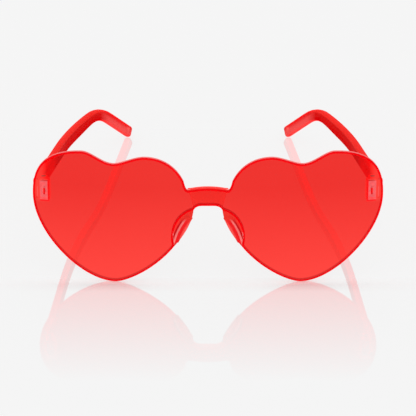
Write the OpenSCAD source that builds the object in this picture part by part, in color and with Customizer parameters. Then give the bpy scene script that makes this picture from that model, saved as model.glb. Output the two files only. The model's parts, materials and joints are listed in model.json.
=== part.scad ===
// Heart shaped sunglasses, standing open on two heart tips and two temple tips.
// The wearer looks along -Y, so the wearer's left is on the +X side.
// The pieces are drawn as worn, with the lens upright, and then leaned back to stand.

/* [Lens] */
// Overall width across the two hearts
lens_w = 148; // [138:0.5:160]
// Width of the gap between the two hearts at its narrowest
heart_gap = 16; // [14:0.1:22]
// Height of a heart from its tip to its outer lobe
heart_h = 58; // [55:0.1:62]
// Thickness of the lens sheet
lens_t = 1.9; // [1.4:0.1:2.4]
// Radius that the lens is curved to round the face
lens_r = 490; // [300:10:700]
// Height of the bridge's upper edge above the heart tips, in its middle
bridge_top = 42.5; // [41:0.1:44.5]
// Height of the bridge band from its lower edge to its upper edge, in its middle
bridge_h = 7.7; // [6.4:0.1:8.6]
// How far the bridge's upper edge falls from its middle to its ends
bridge_arch = 0.9; // [0:0.1:1.6]

/* [Nose piece] */
// Thickness of the saddle bonded behind the bridge
saddle_t = 1.6; // [0.8:0.1:2.4]
// Width of the saddle along its upper edge
saddle_top_w = 17.2; // [15:0.1:19]
// Width of the saddle along its lower edge
saddle_low_w = 12.4; // [9:0.1:13]
// Width of the gap under the bridge, between the upper ends of the pads
nose_gap_w = 12.2; // [11:0.1:14]
// Thickness of the leaf of a nose pad
leaf_t = 1.7; // [1.2:0.1:2.2]
// Length of the leaf of a nose pad
leaf_len = 13; // [10:0.1:14]
// How far the leaf stands back from the middle of the lens sheet
leaf_depth = 6.5; // [4:0.1:8]
// Lean of the leaf against the upright, as the sides of a nose
leaf_lean = 29; // [20:1:36]
// Turn of the leaf away from the nose towards its back edge
leaf_splay = 18; // [0:1:30]

/* [Hinge] */
// Distance of the hinge pin from the widest point of the lens
pin_inset = 4.3; // [4.2:0.05:4.8]
// Diameter of the hinge screw's shank
pin_d = 1.4; // [1:0.05:1.6]
// Diameter of the hinge screw's head, which is sunk in the block's upper ear
head_d = 2.6; // [2:0.1:3]
// Height of the hinge screw's head
head_h = 0.6; // [0.4:0.05:1]
// Radius of the hinge knuckles on the end block
ear_r = 1.7; // [1.5:0.05:1.8]
// Height of the end block
block_h = 9.2; // [8.8:0.1:10.4]
// How far the end block's top stands above the bridge's upper edge
block_rise = 2.1; // [1:0.1:3]
// Height of the temple's knuckle between the two ears
tongue_h = 4.4; // [3:0.1:5]
// Width of the end block across the lens
block_w = 4.7; // [4.4:0.1:6]
// Thickness of the end block's plate behind the lens, at the pin
plate_t = 1.8; // [1.4:0.05:2.2]
// Thickness of the adhesive between the lens and the end block
bond_t = 0.2; // [0.1:0.05:0.3]
// Clearance between the hinge screw and the temple's knuckle
pin_clear = 0.05; // [0.02:0.01:0.08]
// Clearance between faces that turn past each other
turn_clear = 0.15; // [0.1:0.01:0.25]

/* [Temples] */
// Thickness of a temple
temple_t = 3.4; // [2.8:0.05:3.6]
// Height of a temple along its arm
temple_h = 6.8; // [5.8:0.1:7.6]
// Height of a temple along its ear piece
ear_h = 5.4; // [4.6:0.1:5.8]
// How far the temple's outer face stands inside the widest point of the lens
arm_inset = 0.3; // [0.2:0.05:0.8]
// Length of the arm from the hinge to the start of the ear bend
arm_len = 93.2; // [84:0.2:102]
// Radius of the ear bend along the upper edge
bend_r = 44; // [36:1:52]
// Angle by which the arm falls towards the ear
arm_fall = 0.6; // [0:0.1:1.5]
// Angle of the ear piece below the level
ear_drop = 31; // [28:0.2:34]
// Length of the ear piece past the bend
ear_len = 28; // [23:0.5:32]
// Angle by which the arms close in from the hinge
toe_in = 7.4; // [6:0.1:8.5]
// Length of the arm from the hinge to where it starts to curl in
curl_start = 44; // [38:0.5:54]
// Length over which the arm curls in
curl_len = 68; // [56:0.5:74]
// Angle by which the arm curls in
curl_angle = 15.5; // [12:0.1:17]
// Radius of the rounded edges of a temple
edge_r = 1.3; // [0.8:0.05:1.4]
// Radius of the rounded end of the ear piece
tip_r = 1.6; // [1.4:0.05:1.6]

/* [Hidden] */

// Overrun of cuts past the faces that they cut
over = 0.5;
// Segments of a curved stretch of an outline
curve_steps = 10;

// Shares of a heart's half width and height, as control points of smooth stretches.
// Each stretch is its start, two handles and its end.
outer_half_share = 0.52;
tip_to_outer_share = [[0, 0], [0.42, 0], [1, 0.358], [1, 0.659]];
outer_to_lobe_share = [[1, 0.659], [1, 0.788], [0.957, 1], [0.392, 1]];
lobe_to_cleft_share = [[0.392, 1], [0.271, 1], [0.137, 0.911], [0, 0.911]];
cleft_to_inner_lobe_share = [[0, 0.911], [0.102, 0.911], [0.271, 0.965], [0.414, 0.965]];
inner_lobe_to_nose_share = [[0.414, 0.965], [0.709, 0.965], [1, 0.853], [1, 0.577]];
nose_to_tip_share = [[1, 0.577], [1, 0.252], [0.26, 0], [0, 0]];
// How far along their stretches the heart runs into the bridge and into the pad
lobe_end_share = 0.7;
pad_foot_share = 0.33;
// How far the handles of a rounded corner reach towards the corner
corner_share = 0.7;

heart_w = (lens_w - heart_gap) / 2;
heart_x = lens_w / 2 - heart_w * outer_half_share;
outer_w = heart_w * outer_half_share;
inner_w = heart_w - outer_w;
bridge_low = bridge_top - bridge_h;
// Radius of the rounded corner where a heart runs into the bridge
bridge_round = 1.2;
// Drop from the bridge's lower edge to the upper end of a pad
pad_drop = 2;
// Half width of the straight lower edge of the bridge
bridge_flat = 2.4;
// Segments of a rounded corner
corner_steps = 5;

// A point of a smooth stretch given by its start, two handles and its end
function smooth_at(c, t) =
    c[0] * pow(1 - t, 3) + c[1] * 3 * t * pow(1 - t, 2) + c[2] * 3 * t * t * (1 - t) + c[3] * pow(t, 3);
function smooth_run(c, from = 0, to = 1, steps = curve_steps) =
    [for (i = [0 : steps - 1]) smooth_at(c, from + (to - from) * i / steps)];
function rounded_corner(a, corner, b, steps = corner_steps) =
    smooth_run([a, a + (corner - a) * corner_share, b + (corner - b) * corner_share, b], steps = steps);
// Shares turned into places on the heart on the +X side, outside and inside of its middle
function on_outer(c) = [for (p = c) [heart_x + p[0] * outer_w, p[1] * heart_h]];
function on_inner(c) = [for (p = c) [heart_x - p[0] * inner_w, p[1] * heart_h]];

lobe_curve = on_inner(inner_lobe_to_nose_share);
nose_curve = on_inner(nose_to_tip_share);
lobe_end = smooth_at(lobe_curve, lobe_end_share);
// The bridge's upper edge is a shallow arch, up to where the rounded corner starts
arch_w = lobe_end[0] - bridge_round * (1 + corner_share);
function arch_z(x) = bridge_top - bridge_arch * pow(x / arch_w, 2);
function arch_run(to) = [for (i = [0 : curve_steps - 1]) [to * i / curve_steps, arch_z(to * i / curve_steps)]];
arch_end = [arch_w, arch_z(arch_w)];
bridge_corner = [arch_w + bridge_round, arch_end[1] - 2 * bridge_arch * bridge_round / arch_w];
pad_head = [nose_gap_w / 2, bridge_low - pad_drop];
pad_foot = smooth_at(nose_curve, pad_foot_share);
pad_reach = [pad_foot[0] - pad_head[0], pad_foot[1] - pad_head[1]];
// Handles of the notch in the lens and of the pad's free edge, from the pad's head to its foot
notch_share = [[0, 0], [0.78, 0.1], [1.25, 0.55], [1, 1]];
pad_edge_share = [[0, 0], [0.02, 0.237], [0.36, 0.633], [1, 1]];
function on_pad(c) = [for (p = c) [pad_head[0] + p[0] * pad_reach[0], pad_head[1] + p[1] * pad_reach[1]]];
notch_curve = on_pad(notch_share);
pad_edge_curve = on_pad(pad_edge_share);

// Half of the lens outline, from the top of the bridge round the heart to under the bridge
half_outline = concat(
    arch_run(arch_w),
    rounded_corner(arch_end, bridge_corner, lobe_end),
    smooth_run(lobe_curve, lobe_end_share, 0),
    smooth_run(on_inner(cleft_to_inner_lobe_share), 1, 0),
    smooth_run(on_outer(lobe_to_cleft_share), 1, 0),
    smooth_run(on_outer(outer_to_lobe_share), 1, 0),
    smooth_run(on_outer(tip_to_outer_share), 1, 0, 2 * curve_steps),
    smooth_run(nose_curve, 1, pad_foot_share),
    smooth_run(notch_curve, 1, 0),
    rounded_corner(pad_head, [pad_head[0] - pad_drop / 2, bridge_low], [bridge_flat, bridge_low]),
    [[bridge_flat, bridge_low], [0, bridge_low]]
);
lens_outline = concat(
    half_outline,
    [for (i = [len(half_outline) - 2 : -1 : 1]) [-half_outline[i][0], half_outline[i][1]]]
);

// How far back the lens sheet's front and back faces lie at a distance from the middle
function front_y(x) = lens_r - sqrt(lens_r * lens_r - x * x);
function back_y(x) = lens_r - sqrt(pow(lens_r - lens_t, 2) - x * x);

// Hinge pin's place, as worn
pin_x = lens_w / 2 - pin_inset;
plate_back = back_y(pin_x) + bond_t + plate_t;
pin_y = plate_back + ear_r + turn_clear;
block_top = bridge_top + block_rise;
block_low = block_top - block_h;
tongue_low = block_low + (block_h - tongue_h) / 2;

// Plan of a temple's middle line: place and heading after a distance from the pin
curl_r = curl_len * 180 / (PI * curl_angle);
arm_x = lens_w / 2 - arm_inset - temple_t / 2;
function heading(s) = toe_in + curl_angle * min(max(s - curl_start, 0), curl_len) / curl_len;
function plan_x(s) =
    arm_x - min(s, curl_start) * sin(toe_in)
    - curl_r * (cos(toe_in) - cos(heading(s)))
    - max(s - curl_start - curl_len, 0) * sin(heading(s));
function plan_y(s) =
    pin_y + min(s, curl_start) * cos(toe_in)
    + curl_r * (sin(heading(s)) - sin(toe_in))
    + max(s - curl_start - curl_len, 0) * cos(heading(s));

// Side view of a temple's upper edge: distance run, drop and slope after a length of edge
bend_turn = ear_drop - arm_fall;
bend_len = bend_r * bend_turn * PI / 180;
temple_len = arm_len + bend_len + ear_len;
function slope(q) = arm_fall + bend_turn * min(max(q - arm_len, 0), bend_len) / bend_len;
function run(q) =
    min(q, arm_len) * cos(arm_fall) + bend_r * (sin(slope(q)) - sin(arm_fall))
    + max(q - arm_len - bend_len, 0) * cos(ear_drop);
function drop(q) =
    min(q, arm_len) * sin(arm_fall) + bend_r * (cos(arm_fall) - cos(slope(q)))
    + max(q - arm_len - bend_len, 0) * sin(ear_drop);

// The temple is as tall as the end block at the hinge, narrows to the arm and again into the ear bend.
// The first stretch is given in pin diameters from the pin, the second as a share of the arm's length.
flare_pin_share = [1.8, 10];
taper_share = [0.77, 1.12];
function ease(q, from, to) = (1 + cos(180 * min(max((q - from) / (to - from), 0), 1))) / 2;
function height_at(q) =
    ear_h + (temple_h - ear_h) * ease(q, taper_share[0] * arm_len, taper_share[1] * arm_len)
    + (block_h - temple_h) * ease(q, flare_pin_share[0] * pin_d, flare_pin_share[1] * pin_d);

// A rounded rectangle's points across a temple, as [outward, upward] from its middle
section_steps = 3;
function section(w, h, r) = [
    for (k = [0 : 3], i = [0 : section_steps])
        let (a = 90 * k + 90 * i / section_steps,
            sx = (k == 0 || k == 3) ? 1 : -1,
            sz = k < 2 ? 1 : -1)
        [sx * (w / 2 - r) + r * cos(a), sz * (h / 2 - r) + r * sin(a)]
];
// One ring of the temple at a length of its upper edge, drawn in by an inset at its end
function ring(q, inset = 0) =
    let (s = run(q), b = slope(q), a = heading(s), h = height_at(q),
        top = [plan_x(s), plan_y(s), block_top - drop(q)],
        out = [cos(a), sin(a), 0],
        up = [-sin(a) * sin(b), cos(a) * sin(b), cos(b)])
    [for (p = section(temple_t - 2 * inset, h - 2 * inset, max(edge_r - inset / 2, edge_r / 2)))
        top + out * p[0] + up * (p[1] - h / 2)];

// The temple starts ahead of the pin, where it meets the back of the lens when open
start_r = 1;
temple_start = back_y(lens_w / 2) + turn_clear - pin_y;
arm_rings = 34;
tip_rings = 4;
tip_step = 90 / (tip_rings + 0.5);
temple_rings = concat(
    [for (i = [tip_rings : -1 : 1])
        ring(temple_start + start_r * (1 - sin(i * tip_step)), start_r * (1 - cos(i * tip_step)))],
    [for (i = [0 : arm_rings])
        ring(temple_start + start_r + (temple_len - tip_r - temple_start - start_r) * i / arm_rings)],
    [for (i = [1 : tip_rings])
        ring(temple_len - tip_r + tip_r * sin(i * tip_step), tip_r * (1 - cos(i * tip_step)))]
);
ring_n = 4 * (section_steps + 1);
temple_points = [for (r = temple_rings, p = r) p];
function side_faces(n, rings) = [
    for (j = [0 : rings - 2], i = [0 : n - 1])
        let (a = j * n + i, b = j * n + (i + 1) % n)
        for (f = [[a, b, a + n], [b, b + n, a + n]]) f
];

// The lean that lets the heart tips and the temple tips touch the floor together.
// The tip's lower corner is a round of tip_r about this middle, as worn.
tip_a = heading(run(temple_len));
tip_mid = [
    plan_y(run(temple_len)) - tip_r * cos(tip_a) * cos(ear_drop)
        - (ear_h - tip_r) * cos(tip_a) * sin(ear_drop),
    block_top - drop(temple_len) + tip_r * sin(ear_drop) - (ear_h - tip_r) * cos(ear_drop)
];
reach = tip_mid[0] - back_y(heart_x);
lean = atan2(tip_mid[1], reach) - asin(tip_r / sqrt(reach * reach + tip_mid[1] * tip_mid[1]));

// Middle of the footprint and the lowest level, so that both come to zero
function stood_y(y, z) = y * cos(lean) + z * sin(lean);
function stood_z(y, z) = z * cos(lean) - y * sin(lean);
footprint_front = min([for (p = lens_outline) stood_y(front_y(p[0]), p[1])]);
footprint_back = max([for (p = temple_points) stood_y(p[1], p[2])]);
lowest = min(
    min([for (p = lens_outline) stood_z(back_y(p[0]), p[1])]),
    min([for (p = temple_points) stood_z(p[1], p[2])])
);

module stood() {
    translate([0, -(footprint_front + footprint_back) / 2, -lowest])
        rotate([-lean, 0, 0])
            children();
}

// Everything that is drawn for the +X side, or mirrored to the -X side
module on_side(side) {
    stood()
        if (side > 0)
            children();
        else
            mirror([1, 0, 0])
                children();
}

// The layer of a flat outline that lies between two radii of the curved lens
module curved_sheet(outer_r, inner_r) {
    depth = back_y(lens_w / 2) + lens_r - inner_r + over;
    intersection() {
        translate([0, depth, 0])
            rotate([90, 0, 0])
                linear_extrude(height = depth + over)
                    children();
        translate([0, lens_r, -over])
            difference() {
                cylinder(r = outer_r, h = heart_h + 2 * over, $fn = 360);
                translate([0, 0, -over])
                    cylinder(r = inner_r, h = heart_h + 4 * over, $fn = 360);
            }
    }
}

// A flat rectangle with round corners, from its lower to its upper corner
module rounded_plate(low, high, r) {
    translate([low[0] + r, low[1]])
        square([high[0] - low[0] - 2 * r, high[1] - low[1]]);
    translate([low[0], low[1] + r])
        square([high[0] - low[0], high[1] - low[1] - 2 * r]);
    for (x = [low[0] + r, high[0] - r], z = [low[1] + r, high[1] - r])
        translate([x, z])
            circle(r = r, $fn = 32);
}

module lens_front() {
    color("red", 0.6)
        stood()
            curved_sheet(lens_r, lens_r - lens_t)
                polygon(lens_outline);
}

// Sides of the saddle draw in towards the lower edge, and it reaches this far down to the pads
saddle_side_share = [[0, 0], [0.45, 0.25], [0.8, 0.6], [1, 1]];
saddle_drop_share = 0.8;
// Run and drop of the rounded corner at each end of the saddle's upper edge
saddle_corner = [1.2, 0.25];

module nose_saddle() {
    low_end = [saddle_low_w / 2, bridge_low - pad_drop * saddle_drop_share];
    top_w = saddle_top_w / 2 - saddle_corner[0];
    top_end = [saddle_top_w / 2, arch_z(top_w) - saddle_corner[1]];
    flank = [for (p = saddle_side_share)
        [top_end[0] + p[0] * (low_end[0] - top_end[0]), top_end[1] + p[1] * (low_end[1] - top_end[1])]];
    half = concat(
        arch_run(top_w),
        rounded_corner([top_w, arch_z(top_w)], [top_end[0], arch_z(top_w)], top_end),
        smooth_run(flank),
        rounded_corner(low_end, [low_end[0] - pad_drop / 2, bridge_low], [bridge_flat, bridge_low]),
        [[bridge_flat, bridge_low], [0, bridge_low]]
    );
    color("firebrick", 0.8)
        stood()
            curved_sheet(lens_r - lens_t, lens_r - lens_t - saddle_t)
                polygon(concat(half, [for (i = [len(half) - 2 : -1 : 1]) [-half[i][0], half[i][1]]]));
}

// Place of the leaf's middle along and across the pad, as shares of the pad's reach
leaf_place_share = [0.52, 0.55];
// The leaf starts this share of the lens thickness behind the front face, and its root is sunk by the second share
leaf_start_share = 0.75;
leaf_root_share = 0.35;
// Handles of the leaf's free edge, as shares of its depth and length
leaf_bulge_share = 1.1;
leaf_low_share = 0.5;
leaf_high_share = 0.42;

module nose_pad(side) {
    leaf_mid = [pad_head[0] + leaf_place_share[0] * pad_reach[0], pad_head[1] + leaf_place_share[1] * pad_reach[1]];
    leaf_curve = [
        [-leaf_root_share * lens_t, -leaf_len / 2], [leaf_depth * leaf_bulge_share, -leaf_len * leaf_low_share],
        [leaf_depth * leaf_bulge_share, leaf_len * leaf_high_share], [-leaf_root_share * lens_t, leaf_len / 2]
    ];
    color("tomato", 0.8)
        on_side(side) {
            curved_sheet(lens_r, lens_r - lens_t)
                polygon(concat(
                    smooth_run(notch_curve),
                    [pad_foot],
                    smooth_run(pad_edge_curve, 1 - 1 / curve_steps, 0, curve_steps - 1)
                ));
            translate([leaf_mid[0], front_y(leaf_mid[0]) + lens_t * leaf_start_share, leaf_mid[1]])
                rotate([0, -leaf_lean, 0])
                    rotate([0, 0, -leaf_splay])
                        translate([-leaf_t / 2, 0, 0])
                            rotate([90, 0, 90])
                                linear_extrude(height = leaf_t)
                                    polygon(concat(smooth_run(leaf_curve), [leaf_curve[3]]));
        }
}

// The adhesive stops short of the block's edge and holds a slot and two bubbles,
// placed in bubble widths from its middle
bond_margin = 0.35;
bubble_d = 0.5;
slot_place = [0.6, -1];
slot_share = [1, 4];
bubble_places = [[-1, -3.6], [1.3, 4.2]];
// Radius of the corners of the block and of the adhesive
block_round = 1;

module bond(side) {
    low = [pin_x + ear_r - block_w + bond_margin, block_low + bond_margin];
    high = [pin_x + ear_r - bond_margin, block_top - bond_margin];
    mid = (low + high) / 2;
    color("lightpink", 0.9)
        on_side(side)
            curved_sheet(lens_r - lens_t, lens_r - lens_t - bond_t)
                difference() {
                    rounded_plate(low, high, block_round);
                    translate(mid + slot_place * bubble_d)
                        square(slot_share * bubble_d, center = true);
                    for (place = bubble_places)
                        translate(mid + place * bubble_d)
                            circle(d = bubble_d, $fn = 24);
                }
}

module end_block(side) {
    inner = pin_x + ear_r - block_w;
    outer = pin_x + ear_r;
    knuckle_h = (block_h - tongue_h) / 2 - turn_clear;
    color("crimson", 0.8)
        on_side(side)
            difference() {
                union() {
                    intersection() {
                        translate([0, plate_back, 0])
                            rotate([90, 0, 0])
                                linear_extrude(height = plate_back)
                                    rounded_plate([inner, block_low], [outer, block_top], block_round);
                        translate([0, lens_r, 0])
                            cylinder(r = lens_r - lens_t - bond_t, h = heart_h, $fn = 360);
                    }
                    for (z = [block_low, block_top - knuckle_h])
                        translate([pin_x, pin_y, z]) {
                            cylinder(r = ear_r, h = knuckle_h, $fn = 48);
                            translate([-ear_r, -pin_y + plate_back - over, 0])
                                cube([2 * ear_r, pin_y - plate_back + over, knuckle_h]);
                        }
                }
                translate([pin_x, pin_y, block_low - over])
                    cylinder(d = pin_d, h = block_h + 2 * over, $fn = 48);
                translate([pin_x, pin_y, block_top - head_h])
                    cylinder(d = head_d, h = head_h + over, $fn = 48);
            }
}

module hinge_screw(side) {
    slot_w = head_d / 6;
    color("silver")
        on_side(side)
            translate([pin_x, pin_y, block_low])
                difference() {
                    union() {
                        cylinder(d = pin_d, h = block_h - head_h / 2, $fn = 48);
                        translate([0, 0, block_h - head_h])
                            cylinder(d = head_d, h = head_h, $fn = 48);
                    }
                    translate([-head_d, -slot_w / 2, block_h - head_h / 2])
                        cube([2 * head_d, slot_w, head_h]);
                }
}

// The middle of the temple's front end is a knuckle that turns between the ears.
// Its root starts this far outside the pin.
root_out = 0.25;

module temple(side) {
    clear_r = ear_r + turn_clear;
    n = len(temple_points);
    color("red", 0.7)
        on_side(side)
            difference() {
                union() {
                    difference() {
                        polyhedron(
                            points = temple_points,
                            faces = concat(
                                side_faces(ring_n, len(temple_rings)),
                                [[for (i = [0 : ring_n - 1]) ring_n - 1 - i]],
                                [[for (i = [0 : ring_n - 1]) n - ring_n + i]]
                            ),
                            convexity = 6
                        );
                        translate([pin_x, pin_y, block_low - over])
                            cylinder(r = clear_r, h = block_h + 2 * over, $fn = 48);
                        translate([pin_x - 2 * clear_r, 0, block_low - over])
                            cube([3 * clear_r, pin_y, block_h + 2 * over]);
                    }
                    translate([pin_x, pin_y, tongue_low])
                        cylinder(r = ear_r, h = tongue_h, $fn = 48);
                    translate([pin_x + root_out, pin_y, tongue_low])
                        cube([clear_r + over, clear_r + over, tongue_h]);
                }
                translate([pin_x, pin_y, tongue_low - over])
                    cylinder(d = pin_d + 2 * pin_clear, h = tongue_h + 2 * over, $fn = 48);
            }
}

lens_front();
nose_saddle();
nose_pad(1);  // nose_pad_left
nose_pad(-1);  // nose_pad_right
bond(1);  // bond_left
bond(-1);  // bond_right
end_block(1);  // end_block_left
end_block(-1);  // end_block_right
hinge_screw(1);  // hinge_screw_left
hinge_screw(-1);  // hinge_screw_right
temple(1);  // temple_left
temple(-1);  // temple_right
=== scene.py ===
"""Heart shaped sunglasses in clear red plastic, standing open on a glossy pale floor."""

import json
import math

import bmesh
import bpy
from bpy.props import FloatProperty, FloatVectorProperty, PointerProperty
from mathutils import Matrix, Vector


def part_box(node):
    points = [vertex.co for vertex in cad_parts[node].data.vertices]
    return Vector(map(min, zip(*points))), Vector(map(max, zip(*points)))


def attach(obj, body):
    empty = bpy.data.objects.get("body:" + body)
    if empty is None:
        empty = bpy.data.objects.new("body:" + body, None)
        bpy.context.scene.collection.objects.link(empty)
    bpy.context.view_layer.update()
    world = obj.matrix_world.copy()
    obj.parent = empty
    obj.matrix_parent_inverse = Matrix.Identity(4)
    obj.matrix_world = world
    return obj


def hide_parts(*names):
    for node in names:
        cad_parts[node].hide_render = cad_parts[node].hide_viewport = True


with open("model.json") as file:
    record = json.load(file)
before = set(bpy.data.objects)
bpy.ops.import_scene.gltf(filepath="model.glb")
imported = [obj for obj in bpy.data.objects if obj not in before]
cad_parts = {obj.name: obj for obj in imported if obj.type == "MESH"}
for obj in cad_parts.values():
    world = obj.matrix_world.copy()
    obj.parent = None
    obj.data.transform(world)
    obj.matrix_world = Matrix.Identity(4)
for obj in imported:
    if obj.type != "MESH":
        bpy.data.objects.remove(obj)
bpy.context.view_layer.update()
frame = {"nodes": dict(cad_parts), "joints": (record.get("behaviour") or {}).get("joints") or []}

bl_info = {
    "name": "Heart shaped sunglasses",
    "version": (1, 0, 0),
    "blender": (4, 5, 0),
    "location": "View3D > Sidebar > Sunglasses",
    "description": "Makes heart shaped sunglasses in clear red plastic, piece by piece",
    "category": "Object",
}

SIDES = ("left", "right")

# Control points of the heart's outline, as shares of its half width and its height,
# each stretch with its start, two handles and its end.
TIP_TO_OUTER = ((0, 0), (0.42, 0), (1, 0.358), (1, 0.659))
OUTER_TO_LOBE = ((1, 0.659), (1, 0.788), (0.957, 1), (0.392, 1))
LOBE_TO_CLEFT = ((0.392, 1), (0.271, 1), (0.137, 0.911), (0, 0.911))
CLEFT_TO_INNER_LOBE = ((0, 0.911), (0.102, 0.911), (0.271, 0.965), (0.414, 0.965))
INNER_LOBE_TO_NOSE = ((0.414, 0.965), (0.709, 0.965), (1, 0.853), (1, 0.577))
NOSE_TO_TIP = ((1, 0.577), (1, 0.252), (0.26, 0), (0, 0))
# The notch that holds a nose pad and the saddle's side, as shares of their own reach.
NOTCH = ((0, 0), (0.78, 0.1), (1.25, 0.55), (1, 1))
SADDLE_FLANK = ((0, 0), (0.45, 0.25), (0.8, 0.6), (1, 1))
# Share of a heart's width that lies outside its tip, and shares along its stretches
# where the bridge meets the lobe and where the pad's notch ends.
OUTER_SHARE = 0.52
LOBE_END = 0.7
PAD_FOOT = 0.33
# How far a rounded corner's handles reach towards the corner.
CORNER = 0.7
# Small sizes of the bridge, the pads and the saddle, in metres.
BRIDGE_ROUND = 0.0012
BRIDGE_FLAT = 0.0024
PAD_DROP = 0.002
SADDLE_DROP = 0.0016
SADDLE_CORNER = (0.0012, 0.00025)
# Points along a stretch, a rounded corner and the bridge's arch.
STEPS = 20
CORNER_STEPS = 8
ARCH_STEPS = 8

# Width of the upright strips that a plate is bent in, in metres.
STRIP_W = 0.0025
# Distances at which points count as one, and the angle in degrees up to which faces are flat.
CUT_NEAR = 1e-7
MERGE_NEAR = 2e-6
FLAT_ANGLE = 0.4
# How squarely a face looks forward or back to be a plate's flat side, or past its rim.
SQUARE = 0.999
RIM_TURN = 0.98
# Farthest that a sharp corner moves when a piece is drawn in, in gaps.
CORNER_REACH = 2
# Angles in degrees past which the edges of the plates, the pads and the mouldings are rounded.
PLATE_SHARP = 60
PAD_SHARP = 40
MOULDED_SHARP = 50
# Faces across a rounded edge, and across a screw's, which is rounded to a share of the others.
ROUND_FACES = 3
SCREW_FACES = 2
SCREW_SHARE = 1 / 3
# Weight of the large faces in the shading.
SHADING_WEIGHT = 90


class SunglassesSizes(bpy.types.PropertyGroup):
    """Sizes of the front and of the worked edges."""

    lens_w: FloatProperty(
        name="Width", description="Overall width across the two hearts",
        default=0.148, unit="LENGTH")
    heart_gap: FloatProperty(
        name="Heart gap", description="Gap between the hearts at its narrowest",
        default=0.016, unit="LENGTH")
    heart_h: FloatProperty(
        name="Heart height", description="Height of a heart from its tip to its outer lobe",
        default=0.058, unit="LENGTH")
    lens_t: FloatProperty(
        name="Sheet thickness", description="Thickness of the lens sheet",
        default=0.0019, unit="LENGTH")
    lens_r: FloatProperty(
        name="Sheet radius", description="Radius that the sheet is curved to",
        default=0.49, unit="LENGTH")
    bridge_top: FloatProperty(
        name="Bridge top", description="Height of the bridge's upper edge in its middle",
        default=0.0425, unit="LENGTH")
    bridge_h: FloatProperty(
        name="Bridge height", description="Height of the bridge band in its middle",
        default=0.0077, unit="LENGTH")
    bridge_arch: FloatProperty(
        name="Bridge arch", description="How far the bridge's upper edge falls to its ends",
        default=0.0009, unit="LENGTH")
    nose_gap_w: FloatProperty(
        name="Nose gap", description="Width between the upper ends of the pads",
        default=0.0122, unit="LENGTH")
    saddle_t: FloatProperty(
        name="Saddle thickness", description="Thickness of the plate behind the bridge",
        default=0.0016, unit="LENGTH")
    saddle_top_w: FloatProperty(
        name="Saddle top width", description="Width of the saddle along its upper edge",
        default=0.0172, unit="LENGTH")
    saddle_low_w: FloatProperty(
        name="Saddle lower width", description="Width of the saddle along its lower edge",
        default=0.0124, unit="LENGTH")
    rim_round: FloatProperty(
        name="Rim round", description="Radius of the polished edges of the sheet",
        default=0.0003, unit="LENGTH")
    # Painted shade: width of the deep line that the rim material paints inside the sheet's edges.
    rim_painted_shade_line: FloatProperty(
        name="Rim line", description="Width of the deep line inside the sheet's edges",
        default=0.00055, unit="LENGTH")
    moulded_round: FloatProperty(
        name="Moulded round", description="Radius of the edges of the small moulded pieces",
        default=0.00022, unit="LENGTH")
    glue_gap: FloatProperty(
        name="Glue gap", description="Clear line left between two bonded faces",
        default=0.00003, unit="LENGTH")


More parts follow.
